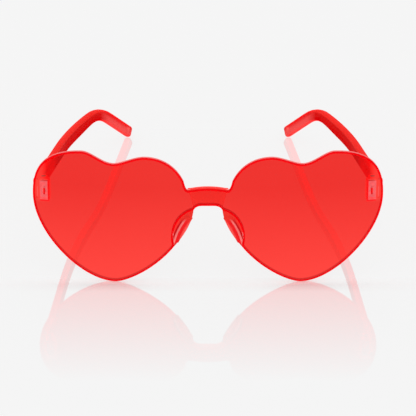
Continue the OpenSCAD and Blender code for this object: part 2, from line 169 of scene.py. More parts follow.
class SunglassesFinishAndPaintedLight(bpy.types.PropertyGroup):
    """Colours and finishes, with the painted glow, painted highlights and painted shade of the
    plastics.
    """

    lens: FloatVectorProperty(
        name="Lens", description="Colour of the clear sheet",
        default=(0.96, 0.036, 0.028), size=3, subtype="COLOR")
    lens_dense: FloatVectorProperty(
        name="Dense lens", description="Colour of the sheet where its dye is denser",
        default=(0.95, 0.031, 0.025), size=3, subtype="COLOR")
    # Painted glow towards the sheet's lower end.
    sheet_foot_painted_glow: FloatVectorProperty(
        name="Lens glow", description="Light that the dye adds at the sheet's lower end",
        default=(0.09, 0.024, 0.02), size=3, subtype="COLOR")
    # Painted glow where the temple stands behind the sheet's outer end.
    sheet_side_painted_glow: FloatVectorProperty(
        name="Side glow",
        description="Light that comes through the sheet's outer end from the temple behind it",
        default=(0.07, 0.032, 0.025), size=3, subtype="COLOR")
    # Painted highlight in a short strip beside the adhesive.
    strip_painted_highlight: FloatVectorProperty(
        name="Strip glow", description="Light caught in a short strip beside the frosted adhesive",
        default=(0.12, 0.06, 0.065), size=3, subtype="COLOR")
    # The frosted adhesive's pale tone, put on the sheet as painted glow, and the same where the frost
    # is thinner.
    frost: FloatVectorProperty(
        name="Frost", description="Tone of the frosted adhesive seen through the sheet",
        default=(0.27, 0.1, 0.105), size=3, subtype="COLOR")
    thin_frost_and_painted_glow: FloatVectorProperty(
        name="Thin frost", description="Tone of the frosted adhesive where it is thinner",
        default=(0.25, 0.055, 0.06), size=3, subtype="COLOR")
    # Dimmer painted glow in the adhesive's slot, which together with the deep tint there is painted
    # shade.
    slot_painted_glow: FloatVectorProperty(
        name="Frost slot", description="Tone of the slot in the adhesive",
        default=(0.15, 0.0, 0.0), size=3, subtype="COLOR")
    # Painted shade: the deep red of the sheet's cut edge, and a denser one where the dye clouds it.
    deep_painted_shade: FloatVectorProperty(
        name="Deep rim", description="Colour of the sheet's cut edge",
        default=(0.8, 0.003, 0.006), size=3, subtype="COLOR")
    dense_deep_painted_shade: FloatVectorProperty(
        name="Dense rim", description="Colour of the cut edge where its dye is denser",
        default=(0.7, 0.002, 0.004), size=3, subtype="COLOR")
    # Painted highlights where the cut edge catches the light, redder on the bridge.
    rim_painted_highlight: FloatVectorProperty(
        name="Pale rim", description="Colour of the cut edge where it catches the light",
        default=(1.0, 0.28, 0.28), size=3, subtype="COLOR")
    bridge_painted_highlight: FloatVectorProperty(
        name="Pale bridge rim",
        description="Colour of the bridge's cut edge where it catches the light",
        default=(1.0, 0.06, 0.05), size=3, subtype="COLOR")
    # Painted glow in the cut edge, stronger on its lower side.
    low_rim_painted_glow: FloatVectorProperty(
        name="Low rim glow", description="Light that the dye adds in the cut edge's lower side",
        default=(0.45, 0.0, 0.001), size=3, subtype="COLOR")
    rim_painted_glow: FloatVectorProperty(
        name="Rim glow", description="Light that the dye adds in the cut edge",
        default=(0.12, 0.0, 0.001), size=3, subtype="COLOR")
    plastic: FloatVectorProperty(
        name="Plastic", description="Colour of the thick clear plastic",
        default=(1.0, 0.034, 0.022), size=3, subtype="COLOR")
    # Painted shade on the temples' upright faces.
    side_painted_shade: FloatVectorProperty(
        name="Side plastic", description="Colour of the temples' upright faces",
        default=(0.6, 0.0005, 0.002), size=3, subtype="COLOR")
    # Painted shade on the ear pieces' top and painted light on their sides.
    ear_top_painted_shade: FloatVectorProperty(
        name="Ear piece top", description="Colour of the ear pieces' upper side",
        default=(0.92, 0.002, 0.003), size=3, subtype="COLOR")
    ear_side_painted_light: FloatVectorProperty(
        name="Ear piece side", description="Colour of the ear pieces' upright faces",
        default=(1.0, 0.075, 0.07), size=3, subtype="COLOR")
    # Painted glow along the temples.
    temple_glow: FloatVectorProperty(
        name="Temple glow", description="Light that the dye adds in the temples",
        default=(0.13, 0.0, 0.0), size=3, subtype="COLOR")
    temple_bend: FloatProperty(
        name="Temple bend", description="How strongly the temples bend the light",
        default=1.01, min=1, max=1.6)
    # Painted glow on the ear pieces' sides and top.
    ear_side_painted_glow: FloatVectorProperty(
        name="Ear piece glow", description="Light that the dye adds in the sides of the ear pieces",
        default=(0.14, 0.03, 0.028), size=3, subtype="COLOR")
    ear_top_painted_glow: FloatVectorProperty(
        name="Ear piece top glow",
        description="Light that the dye adds along the top of the ear pieces",
        default=(0.06, 0.0, 0.0), size=3, subtype="COLOR")
    # Painted glow near the hinge.
    hinge_painted_glow: FloatVectorProperty(
        name="Glow at the hinge", description="Light that the dye adds in the temples near the hinge",
        default=(0.38, 0.0, 0.0), size=3, subtype="COLOR")
    # Painted glow at the temples' front ends.
    temple_end_painted_glow: FloatVectorProperty(
        name="Temple end glow", description="Light that comes from the temples' front ends",
        default=(0.5, 0.6, 0.5), size=3, subtype="COLOR")
    # Painted glow under the temples.
    underside_painted_glow: FloatVectorProperty(
        name="Underside glow", description="Light that the dye adds under the temples",
        default=(0.6, 0.0, 0.0), size=3, subtype="COLOR")
    # Painted light: a pale tone, with painted glow, on the faces that meet the sheet and on the
    # temples' front ends.
    bonded: FloatVectorProperty(
        name="Bonded face", description="Colour of the faces that meet the back of the sheet",
        default=(1.0, 0.5, 0.45), size=3, subtype="COLOR")
    bonded_painted_glow: FloatVectorProperty(
        name="Bonded glow", description="Light that comes from the faces that meet the sheet",
        default=(0.3, 0.3, 0.27), size=3, subtype="COLOR")
    saddle_rim: FloatVectorProperty(
        name="Saddle rim", description="Colour of the edges of the plate behind the bridge",
        default=(1.0, 0.02, 0.017), size=3, subtype="COLOR")
    # Painted glow in the saddle's edges.
    saddle_painted_glow: FloatVectorProperty(
        name="Saddle glow", description="Light that the dye adds in the edges behind the bridge",
        default=(0.3, 0.0, 0.0), size=3, subtype="COLOR")
    pad: FloatVectorProperty(
        name="Pad", description="Colour of the nose pads",
        default=(1.0, 0.05, 0.035), size=3, subtype="COLOR")
    pad_dense: FloatVectorProperty(
        name="Dense pad", description="Colour of the nose pads where their dye is denser",
        default=(0.97, 0.042, 0.03), size=3, subtype="COLOR")
    # Painted glow in the nose pads, stronger in their painted lines.
    pad_painted_glow: FloatVectorProperty(
        name="Pad glow", description="Light that the dye adds in the nose pads",
        default=(0.1, 0.0, 0.0), size=3, subtype="COLOR")
    pad_line_painted_glow: FloatVectorProperty(
        name="Pad line glow", description="Light that the dye adds in the lines on the nose pads",
        default=(0.22, 0.003, 0.004), size=3, subtype="COLOR")
    pad_clear: FloatProperty(
        name="Pad clearness", description="How clear the nose pads are",
        default=0.4, min=0, max=1, subtype="FACTOR")
    # Centre and reach of the painted highlight and painted shade lines on the nose pads.
    painted_pad_line_centre: FloatVectorProperty(
        name="Pad line centre", description="Centre of the curved lines on the left nose pad",
        default=(-0.01215, 0.0, 0.01244), size=3, subtype="XYZ", unit="LENGTH")
    painted_pad_line_reach: FloatVectorProperty(
        name="Pad line reach", description="Nearest and farthest curved line from their centre",
        default=(0.0245, 0.0295), size=2, unit="LENGTH")
    block: FloatVectorProperty(
        name="Block", description="Colour of the end blocks",
        default=(0.9, 0.004, 0.006), size=3, subtype="COLOR")
    # Painted glow in the small moulded pieces.
    block_painted_glow: FloatVectorProperty(
        name="Block glow", description="Light that the dye adds in the small moulded pieces",
        default=(0.5, 0.0, 0.0), size=3, subtype="COLOR")
    rim_clear: FloatProperty(
        name="Rim clearness", description="How clear the sheet's cut edge is",
        default=0.3, min=0, max=1, subtype="FACTOR")
    solid_clear: FloatProperty(
        name="Solid clearness", description="How clear the small moulded pieces are",
        default=0.6, min=0, max=1, subtype="FACTOR")
    temple_clear: FloatProperty(
        name="Temple clearness", description="How clear the temples are",
        default=0.4, min=0, max=1, subtype="FACTOR")
    temple_coat: FloatProperty(
        name="Temple gloss", description="Gloss of the temples",
        default=0.08, min=0, max=1, subtype="FACTOR")
    lens_coat: FloatProperty(
        name="Lens gloss", description="Gloss of the sheet",
        default=0.12, min=0, max=1, subtype="FACTOR")
    solid_bend: FloatProperty(
        name="Solid bend", description="How strongly the thick pieces bend the light",
        default=1.05, min=1, max=1.6)
    rim_bend: FloatProperty(
        name="Rim bend", description="How strongly the sheet's cut edge bends the light",
        default=1.01, min=1, max=1.6)
    lens_bend: FloatProperty(
        name="Lens bend", description="How strongly the sheet bends the light",
        default=1.1, min=1, max=1.6)
    adhesive: FloatVectorProperty(
        name="Adhesive", description="Colour of the frosted adhesive",
        default=(1.0, 0.15, 0.15), size=3, subtype="COLOR")
    steel: FloatVectorProperty(
        name="Steel", description="Colour of the hinge screws",
        default=(0.62, 0.6, 0.58), size=3, subtype="COLOR")
    floor: FloatVectorProperty(
        name="Floor", description="Colour of the floor and the background",
        default=(0.913, 0.913, 0.913), size=3, subtype="COLOR")
    mirror: FloatProperty(
        name="Mirror", description="Strength of the floor's reflection beside the sunglasses",
        default=0.27, min=0, max=1, subtype="FACTOR")
    mirror_reach: FloatProperty(
        name="Mirror reach", description="Distance over which the reflection fades out",
        default=0.078, unit="LENGTH")
    even_floor: FloatProperty(
        name="Even floor", description="Share of the floor that shows its plain tone, without shadow",
        default=0.88, min=0, max=1, subtype="FACTOR")
    tip_floor: FloatProperty(
        name="Even floor at the tips", description="The same share where the hearts' tips stand",
        default=0.3, min=0, max=1, subtype="FACTOR")
    light: FloatProperty(
        name="Light", description="Level of the light from all round",
        default=1.0, min=0)


# Mesh helpers

def smooth_at(c, t):
    """The point of a smooth stretch given by its start, two handles and its end."""
    weights = ((1 - t) ** 3, 3 * t * (1 - t) ** 2, 3 * t * t * (1 - t), t ** 3)
    return Vector([sum(w * p[i] for w, p in zip(weights, c)) for i in range(2)])


def smooth_run(c, start=0.0, end=1.0, steps=STEPS):
    return [smooth_at(c, start + (end - start) * i / steps) for i in range(steps)]


def rounded_corner(a, corner, b):
    a, corner, b = Vector(a), Vector(corner), Vector(b)
    handles = (a, a + (corner - a) * CORNER, b + (corner - b) * CORNER, b)
    return smooth_run(handles, steps=CORNER_STEPS)


def stretched(c, start, end):
    """Control points given as shares of the way from a start to an end."""
    reach = end - start
    return [Vector((start.x + p[0] * reach.x, start.y + p[1] * reach.y)) for p in c]


def both_sides(half):
    """A half outline that starts and ends on the middle line, closed by its mirror image."""
    return half + [Vector((-p.x, p.y)) for p in reversed(half[1:-1])]


def flat_plate(outline, near, far):
    """A flat plate of an outline between two depths, its rim edges still sharp."""
    bm = bmesh.new()
    face = bm.faces.new([bm.verts.new((p.x, near, p.y)) for p in outline])
    grown = bmesh.ops.extrude_face_region(bm, geom=[face])
    moved = [v for v in grown["geom"] if isinstance(v, bmesh.types.BMVert)]
    bmesh.ops.translate(bm, verts=moved, vec=(0, far - near, 0))
    bmesh.ops.recalc_face_normals(bm, faces=bm.faces)
    return bm


def round_edges(bm, radius, sharper_than, segments=ROUND_FACES):
    """Rounds the outward edges whose faces meet at more than an angle in degrees."""
    limit = math.radians(sharper_than)
    edges = [e for e in bm.edges if e.is_manifold and e.is_convex and e.calc_face_angle() > limit]
    bmesh.ops.bevel(bm, geom=edges, offset=radius, offset_type="OFFSET", segments=segments,
                    profile=0.5, affect="EDGES", clamp_overlap=True, material=-1)


def bend_round_face(bm, sheet_r):
    """Cuts a flat plate into upright strips and bends it round the face."""
    strips = int(max(abs(v.co.x) for v in bm.verts) / STRIP_W)
    for i in range(-strips, strips + 1):
        bmesh.ops.bisect_plane(bm, geom=bm.verts[:] + bm.edges[:] + bm.faces[:], dist=CUT_NEAR,
                               plane_co=(i * STRIP_W, 0, 0), plane_no=(1, 0, 0))
    for v in bm.verts:
        v.co.y = sheet_r - math.sqrt((sheet_r - v.co.y) ** 2 - v.co.x ** 2)


def stand_like(bm, node):
    """Leans a plate that is drawn upright as the hinge pins lean, and sets it where a CAD node is."""
    axis = Vector(frame["joints"][0]["axis"])
    lean = math.atan2(axis.y, axis.z)
    bmesh.ops.rotate(bm, verts=bm.verts, cent=(0, 0, 0), matrix=Matrix.Rotation(-lean, 3, "X"))
    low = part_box(node)[0]
    here = Vector([min(v.co[i] for v in bm.verts) for i in range(3)])
    bmesh.ops.translate(bm, verts=bm.verts, vec=(0, low.y - here.y, low.z - here.z))


def merged_copy(node):
    """A CAD node's mesh with its loose triangles joined and its flat faces whole."""
    bm = bmesh.new()
    bm.from_mesh(frame["nodes"][node].data)
    bmesh.ops.remove_doubles(bm, verts=bm.verts, dist=MERGE_NEAR)
    bmesh.ops.dissolve_limit(bm, angle_limit=math.radians(FLAT_ANGLE), verts=bm.verts, edges=bm.edges)
    bmesh.ops.recalc_face_normals(bm, faces=bm.faces)
    return bm


def draw_in(bm, gap):
    """Moves every face in by a gap, so that bonded faces don't lie in one plane."""
    bm.normal_update()
    moves = [(v, v.normal * -gap * min(v.calc_shell_factor(), CORNER_REACH)) for v in bm.verts]
    for v, move in moves:
        v.co += move


def line_edges(bm, width):
    """Cuts a narrow line along the border of a plate's front and back and marks it as rim, where the
    rim's painted shade shows as a deep line.
    """
    bm.normal_update()
    flats = [f for f in bm.faces if abs(f.normal.y) > SQUARE]
    for face in sorted(flats, key=lambda f: -f.calc_area())[:2]:
        ring = bmesh.ops.inset_region(bm, faces=[face], thickness=width, use_even_offset=True)
        for f in ring["faces"]:
            f.material_index = 1


def mark_rim(bm):
    """Marks the faces of a sheet's cut edge as rim."""
    for face in bm.faces:
        face.normal_update()
        if abs(face.normal.y) < RIM_TURN:
            face.material_index = 1


def finished(bm, name, body, slot, node, *materials):
    """Turns a mesh into a piece that rides on a body and stands for a CAD node."""
    if not bm.faces:
        raise RuntimeError(f"{name} has no faces")
    for f in bm.faces:
        f.smooth = True
    mesh = bpy.data.meshes.new(name)
    bm.to_mesh(mesh)
    bm.free()
    for material in materials:
        mesh.materials.append(material)
    piece = bpy.data.objects.new(name, mesh)
    bpy.context.scene.collection.objects.link(piece)
    even = piece.modifiers.new("Even shading", "WEIGHTED_NORMAL")
    even.mode = "FACE_AREA"
    even.weight = SHADING_WEIGHT
    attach(piece, body)
    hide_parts(node)


def moulded_pair(part, name, body, slot, material, gap=0.0, radius=0.0, sharper_than=MOULDED_SHARP,
                 segments=ROUND_FACES):
    """Makes a left and a right piece from a pair of CAD nodes, drawn in by a gap and rounded."""
    for side in SIDES:
        node = f"{part}_{side}"
        bm = merged_copy(node)
        if gap:
            draw_in(bm, gap)
        if radius:
            round_edges(bm, radius, sharper_than, segments)
        finished(bm, f"{name}_{side}", body.format(side), slot, node, material)


# Outlines

def heart_sides(s):
    """Half widths of a heart outside and inside of its middle, and the middle's place."""
    heart_w = (s.lens_w - s.heart_gap) / 2
    outer = heart_w * OUTER_SHARE
    return outer, heart_w - outer, s.lens_w / 2 - outer


def on_outer(s, c):
    outer, _, x = heart_sides(s)
    return [Vector((x + p[0] * outer, p[1] * s.heart_h)) for p in c]


def on_inner(s, c):
    _, inner, x = heart_sides(s)
    return [Vector((x - p[0] * inner, p[1] * s.heart_h)) for p in c]


def pad_ends(s):
    """The upper and the lower end of a pad's notch."""
    head = Vector((s.nose_gap_w / 2, s.bridge_top - s.bridge_h - PAD_DROP))
    return head, smooth_at(on_inner(s, NOSE_TO_TIP), PAD_FOOT)


def arch_width(s):
    """Distance from the middle line to where the bridge's arch ends."""
    return smooth_at(on_inner(s, INNER_LOBE_TO_NOSE), LOBE_END).x - BRIDGE_ROUND * (1 + CORNER)


def arch_run(s, to):
    """Points along the bridge's arched upper edge, from its middle, and the point where they end."""
    width = arch_width(s)
    run = [to * i / ARCH_STEPS for i in range(ARCH_STEPS + 1)]
    points = [Vector((x, s.bridge_top - s.bridge_arch * (x / width) ** 2)) for x in run]
    return points[:-1], points[-1]


def bridge_underside(s, end):
    """The bridge's lower edge, from the round at its outer end to the middle line."""
    low = s.bridge_top - s.bridge_h
    flat = Vector((BRIDGE_FLAT, low))
    return rounded_corner(end, (end.x - PAD_DROP / 2, low), flat) + [flat, Vector((0, low))]


def lens_outline(s):
    lobe = on_inner(s, INNER_LOBE_TO_NOSE)
    arch_w = arch_width(s)
    head, foot = pad_ends(s)
    half, arch_end = arch_run(s, arch_w)
    fall = 2 * s.bridge_arch * BRIDGE_ROUND / arch_w
    corner = (arch_end.x + BRIDGE_ROUND, arch_end.y - fall)
    half += rounded_corner(arch_end, corner, smooth_at(lobe, LOBE_END))
    half += smooth_run(lobe, LOBE_END, 0)
    half += smooth_run(on_inner(s, CLEFT_TO_INNER_LOBE), 1, 0)
    half += smooth_run(on_outer(s, LOBE_TO_CLEFT), 1, 0)
    half += smooth_run(on_outer(s, OUTER_TO_LOBE), 1, 0)
    half += smooth_run(on_outer(s, TIP_TO_OUTER), 1, 0, 2 * STEPS)
    half += smooth_run(on_inner(s, NOSE_TO_TIP), 1, PAD_FOOT)
    half += smooth_run(stretched(NOTCH, head, foot), 1, 0)
    return both_sides(half + bridge_underside(s, head))


def saddle_outline(s):
    low_end = Vector((s.saddle_low_w / 2, s.bridge_top - s.bridge_h - SADDLE_DROP))
    half, arch_end = arch_run(s, s.saddle_top_w / 2 - SADDLE_CORNER[0])
    top_end = Vector((s.saddle_top_w / 2, arch_end.y - SADDLE_CORNER[1]))
    half += rounded_corner(arch_end, (top_end.x, arch_end.y), top_end)
    half += smooth_run(stretched(SADDLE_FLANK, top_end, low_end))
    return both_sides(half + bridge_underside(s, low_end))


# Materials

# Boxes on the sheet around a hinge, in metres: how far from the middle line, how high,
# and how softly the edges fade.
# A deep line of painted shade, with painted glow, round the adhesive.
PAINTED_SHADE_LINE = ((0.0668, 0.0711), (0.0347, 0.0439), 0.0003)
# Where the frosted adhesive is painted on the sheet, with painted glow.
GLUE_PATCH = ((0.0675, 0.0711), (0.0354, 0.0439), 0.0003)
# The adhesive's slot, darkened with painted shade and a dimmer painted glow.
GLUE_SLOT = ((0.0686, 0.0696), (0.0377, 0.0407), 0.00015)
# Where the sheet has painted glow in front of the temple.
TEMPLE_BEHIND = ((0.0678, 0.0742), (0.034, 0.0535), 0.0025)
# A short strip of painted highlight beside the adhesive.
PAINTED_HIGHLIGHT_STRIP = ((0.0717, 0.0723), (0.0366, 0.0412), 0.0002)

# Where a mask starts and where it is full, as heights or places in metres.
# Where the sheet's painted glow towards the floor starts and is full.
LENS_FOOT = (0.042, 0.002)
BRIDGE_MIDDLE = (0.0125, 0.0095)
# Heights between which the pads' painted lines show.
PAD_HIGH = (0.0293, 0.0275)
PAD_LOW = (0.017, 0.019)
# Where the painted glow near the hinge starts and is full.
HINGE_END = (-0.024, -0.035)
EAR_BEND = (0.041, 0.049)
# Where the ear piece's tip takes the painted shade of its top.
EAR_TIP = (0.0695, 0.071)
# Direction across the ear piece, square to its length, and where along it the top starts, which takes
# the painted shade.
EAR_ACROSS = (0, 0.643, 0.766)
EAR_RIDGE = (0.0466, 0.0482)

# The same for how far a face looks up (+) or down, or back (+) or forward.
# Cut edges that look up and not forward take the painted highlight.
RIM_UP = (0.25, 0.5)
RIM_FLAT = (-0.25, -0.05)
# Cut edges that look down take the stronger painted glow.
RIM_DOWN = (0.4, -0.1)
# Faces that look forward past this take painted light.
BONDED_PAINTED_LIGHT = (-0.85, -0.95)
# The pads' front faces, where the painted lines show.
PAD_FRONT = (-0.9, -0.96)
# Temple faces that look less up than this take painted shade.
TEMPLE_TOP = (0.0, 0.3)
# Temple faces that look down past this take painted glow.
TEMPLE_UNDER = (-0.3, -0.7)
# Temple faces that look forward past this take painted light.
TEMPLE_FRONT = (-0.8, -0.95)

# Painted highlight and painted shade lines over the nose pad, from its outer edge at the nose to the
# notch in the sheet.
PAD_PAINTED_LIGHT_AND_SHADE = (
    (0.0, (1.0, 0.2, 0.18)), (0.12, (1.0, 0.12, 0.1)), (0.24, (0.85, 0.01, 0.014)),
    (0.44, (0.85, 0.006, 0.01)), (0.5, (1.0, 0.34, 0.32)), (0.6, (1.0, 0.34, 0.32)),
    (0.66, (0.42, 0.001, 0.003)), (0.76, (0.42, 0.001, 0.003)), (0.81, (1.0, 0.05, 0.035)),
)
# Second tones: of the temples and the adhesive where their dye is dense, and of worn steel.
DENSE_TEMPLE = (0.97, 0.8, 0.8)
DENSE_ADHESIVE = (1, 0.3, 0.28)
WORN_STEEL = (0.4, 0.38, 0.36)
# Share of its colour that the saddle or a block keeps where its dye is dense.
DENSE_SOLID = 0.8
NO_GLOW = (0, 0, 0)

# Scale of the dye's cloud in each material, and of the mottling in the frosted patch's painted glow.
CLOUDS = {"lens": 12, "rim": 200, "saddle": 40, "pad": 60, "block": 120, "temple": 25,
          "adhesive": 900, "steel": 2500, "frost": 700}
# Roughness where a surface is clean and where it is smudged.
SHEET_MARKS = (0.01, 0.04)
RIM_MARKS = (0.08, 0.2)
MOULDED_MARKS = (0.03, 0.12)
ADHESIVE_MARKS = (0.4, 0.7)
STEEL_MARKS = (0.2, 0.38)
# Levels of the noise that the dye's cloud, the smudges and the scratches run between.
CLOUD_LEVELS = (0.35, 0.7)
SMUDGE_LEVELS = (0.45, 0.75)
SCRATCH_LEVELS = (0.68, 0.74)
# Detail of the dye's cloud, and scale and detail of the smudges.
CLOUD_DETAIL = 3
SMUDGE_SCALE = 90
SMUDGE_DETAIL = 4
# The scratches' turn in radians, stretch, depth in metres and strength.
SCRATCH_TURN = (0.3, 0.5, 0.9)
SCRATCH_SCALE = (60, 900, 900)
SCRATCH_DEPTH = 0.00001
SCRATCH_STRENGTH = 0.2
# Roughness of the gloss on the plastics, and its level on the pads, the saddle and the blocks.
COAT_ROUGHNESS = 0.04
SOLID_COAT = 0.1
# How clear the adhesive is and how much it bends light.
ADHESIVE_CLEAR = 0.4
ADHESIVE_BEND = 1.45

# How far from the middle the floor's mirror starts to fade, where the hearts' tips stand
# and how far from them the floor darkens, in metres.
FADE_START = 0.072
TIP_LINE = 0.074
TIP_REACH = 0.006
# Level of the light from below and from above.
LIGHT_BELOW = 0.55
LIGHT_ABOVE = 1.25

# Sockets of a colour Mix node, which has several of each name.
MIX_FIRST, MIX_SECOND, MIX_RESULT = 6, 7, 2
# Spacing of the columns and rows that a tree's nodes are laid out in.
COLUMN_W = 240
ROW_H = 280


def feed(tree, socket, value):
    """Joins another node's output to a socket, or sets the socket to a colour or a number."""
    if isinstance(value, bpy.types.NodeSocket):
        tree.links.new(value, socket)
    elif socket.type == "RGBA":
        socket.default_value = (*value, 1)
    else:
        socket.default_value = value


def add_node(tree, kind, inputs=None, **values):
    """Adds a node with its own values, and feeds its inputs, given by name or by number."""
    node = tree.nodes.new(kind)
    for key, value in values.items():
        setattr(node, key, value)
    for key, value in (inputs or {}).items():
        feed(tree, node.inputs[key], value)
    return node


def maths(tree, operation, *values):
    return add_node(tree, "ShaderNodeMath", dict(enumerate(values)), operation=operation).outputs[0]


def mapped(tree, source, low, high, start=0.0, end=1.0):
    """Runs from a start to an end while the source runs from low to high."""
    inputs = {"Value": source, "From Min": low, "From Max": high, "To Min": start, "To Max": end}
    return add_node(tree, "ShaderNodeMapRange", inputs).outputs["Result"]


def blend(tree, factor, first, second, **values):
    """Mixes two colours, each a plain colour or another node's output, by a factor."""
    inputs = {"Factor": factor, MIX_FIRST: first, MIX_SECOND: second}
    return add_node(tree, "ShaderNodeMix", inputs, data_type="RGBA", **values).outputs[MIX_RESULT]


def layered(tree, factor, first, second):
    """Mixes two shaders by a factor."""
    return add_node(tree, "ShaderNodeMixShader", {0: factor, 1: first, 2: second}).outputs["Shader"]


def noise(tree, place, scale, detail):
    inputs = {"Vector": place, "Scale": scale, "Detail": detail}
    return add_node(tree, "ShaderNodeTexNoise", inputs).outputs["Fac"]


def coordinates(tree, kind):
    return add_node(tree, "ShaderNodeTexCoord").outputs[kind]


def parts(tree, vector):
    """The X, Y and Z of a vector."""
    return add_node(tree, "ShaderNodeSeparateXYZ", {"Vector": vector}).outputs


def window(tree, place, box):
    """A mask of a box across and upright, the same on both sides."""
    across, upright, soft = box
    sides = []
    for source, (low, high) in ((maths(tree, "ABSOLUTE", place["X"]), across), (place["Z"], upright)):
        rise = mapped(tree, source, low, low + soft)
        fall = mapped(tree, source, high, high - soft)
        sides.append(maths(tree, "MULTIPLY", rise, fall))
    return maths(tree, "MULTIPLY", *sides)


def seen_directly(tree):
    """1 for what the camera sees, also mirrored or through clear plastic, and 0 for other light."""
    rays = add_node(tree, "ShaderNodeLightPath").outputs
    direct = maths(tree, "MAXIMUM", rays["Is Camera Ray"], rays["Is Glossy Ray"])
    return maths(tree, "MAXIMUM", rays["Is Transmission Ray"], direct)


def arrange(tree):
    """Lays a tree's nodes out in columns, from its output back to what feeds it."""
    columns = {node.name: 0 for node in tree.nodes}
    for _ in tree.nodes:
        for link in tree.links:
            behind, ahead = link.from_node.name, link.to_node.name
            columns[behind] = max(columns[behind], columns[ahead] + 1)
    rows = {}
    for node in tree.nodes:
        column = columns[node.name]
        rows[column] = rows.get(column, 0) + 1
        node.location = (-column * COLUMN_W, -rows[column] * ROW_H)


def new_group(name, inputs, outputs):
    """An empty node group with its inputs, each with a default, and its outputs."""
    tree = bpy.data.node_groups.new(name, "ShaderNodeTree")
    for label, value in inputs.items():
        socket = tree.interface.new_socket(label, in_out="INPUT", socket_type="NodeSocketFloat")
        socket.default_value = value
    for label in outputs:
        tree.interface.new_socket(label, in_out="OUTPUT", socket_type="NodeSocketFloat")
    return tree, add_node(tree, "NodeGroupInput").outputs, add_node(tree, "NodeGroupOutput").inputs


def dye_group():
    """Dye density: a slow cloud from the moulding flow, from 0 where pale to 1 where dense."""
    name = "Dye density"
    if name in bpy.data.node_groups:
        return bpy.data.node_groups[name]
    tree, given, result = new_group(name, {"Scale": 30}, ("Density",))
    cloud = noise(tree, coordinates(tree, "Object"), given["Scale"], CLOUD_DETAIL)
    feed(tree, result["Density"], mapped(tree, cloud, *CLOUD_LEVELS))
    arrange(tree)
    return tree


def handling_group():
    """Handling marks: smudges for the roughness and hairline scratches for the bump."""
    name = "Handling marks"
    if name in bpy.data.node_groups:
        return bpy.data.node_groups[name]
    tree, given, result = new_group(name, {"Clean": 0.01, "Smudged": 0.04}, ("Roughness", "Scratches"))
    place = coordinates(tree, "Object")
    smudge = noise(tree, place, SMUDGE_SCALE, SMUDGE_DETAIL)
    rough = mapped(tree, smudge, *SMUDGE_LEVELS, given["Clean"], given["Smudged"])
    feed(tree, result["Roughness"], rough)
    stretch = add_node(tree, "ShaderNodeMapping",
                       {"Vector": place, "Rotation": SCRATCH_TURN, "Scale": SCRATCH_SCALE})
    hair = noise(tree, stretch.outputs["Vector"], scale=1, detail=1)
    feed(tree, result["Scratches"], mapped(tree, hair, *SCRATCH_LEVELS))
    arrange(tree)
    return tree


def new_material(name):
    material = bpy.data.materials.new(name)
    material.use_nodes = True
    return material, material.node_tree, material.node_tree.nodes["Principled BSDF"]


def dye(tree, scale):
    """Places the dye's cloud at a scale and gives its density."""
    group = add_node(tree, "ShaderNodeGroup", node_tree=dye_group())
    feed(tree, group.inputs["Scale"], scale)
    return group.outputs["Density"]


def mark(tree, shader, roughness, scratched=True):
    """Joins the handling marks to a shader, with the roughness where clean and where smudged."""
    marks = add_node(tree, "ShaderNodeGroup", node_tree=handling_group())
    marks.inputs["Clean"].default_value, marks.inputs["Smudged"].default_value = roughness
    feed(tree, shader.inputs["Roughness"], marks.outputs["Roughness"])
    if scratched:
        bump = add_node(tree, "ShaderNodeBump", {
            "Distance": SCRATCH_DEPTH, "Strength": SCRATCH_STRENGTH,
            "Height": marks.outputs["Scratches"]})
        feed(tree, shader.inputs["Normal"], bump.outputs["Normal"])


def dress(tree, shader, colour, glow, marks, clear, bend, coat=0.0):
    """Gives a clear plastic its colour, painted glow, marks, clearness, bend of light and gloss."""
    mark(tree, shader, marks)
    # The glow is emission: painted light, since no plastic piece is a lamp.
    for name, value in (("Base Color", colour), ("Emission Color", glow), ("Emission Strength", 1),
                        ("Transmission Weight", clear), ("IOR", bend), ("Coat Weight", coat),
                        ("Coat Roughness", COAT_ROUGHNESS)):
        feed(tree, shader.inputs[name], value)
    arrange(tree)


def lens_plastic(f):
    """Clear red sheet, a little lighter towards the floor and in front of the temple with painted
    glow, with a painted highlight strip and a painted shade line by the adhesive, and frosted where
    the adhesive holds it, with painted glow.
    """
    material, tree, shader = new_material("Lens plastic")
    place = parts(tree, coordinates(tree, "Object"))
    line = window(tree, place, PAINTED_SHADE_LINE)
    glued = window(tree, place, GLUE_PATCH)
    slot = window(tree, place, GLUE_SLOT)
    tint = blend(tree, dye(tree, CLOUDS["lens"]), f.lens, f.lens_dense)
    # Painted shade: a deep line round the adhesive.
    tint = blend(tree, line, tint, f.deep_painted_shade)
    # The adhesive's own colour painted on the sheet, with painted shade in its slot.
    tint = blend(tree, glued, tint, blend(tree, slot, f.adhesive, f.deep_painted_shade))
    # Painted glow, growing towards the sheet's lower end.
    glow = blend(tree, mapped(tree, place["Z"], *LENS_FOOT), NO_GLOW, f.sheet_foot_painted_glow)
    # Painted glow where the temple stands behind the sheet.
    glow = blend(tree, window(tree, place, TEMPLE_BEHIND), glow, f.sheet_side_painted_glow)
    # Painted highlight in a short strip beside the adhesive.
    glow = blend(tree, window(tree, place, PAINTED_HIGHLIGHT_STRIP), glow, f.strip_painted_highlight)
    # Painted glow along the painted shade line.
    glow = blend(tree, line, glow, f.low_rim_painted_glow)
    # The frosted adhesive's pale tone as painted glow, mottled by a cloud.
    frost = blend(tree, dye(tree, CLOUDS["frost"]), f.frost, f.thin_frost_and_painted_glow)
    # The painted glow over the adhesive, dimmer in its slot.
    glow = blend(tree, glued, glow, blend(tree, slot, frost, f.slot_painted_glow))
    dress(tree, shader, tint, glow, SHEET_MARKS, 1, f.lens_bend, f.lens_coat)
    return material


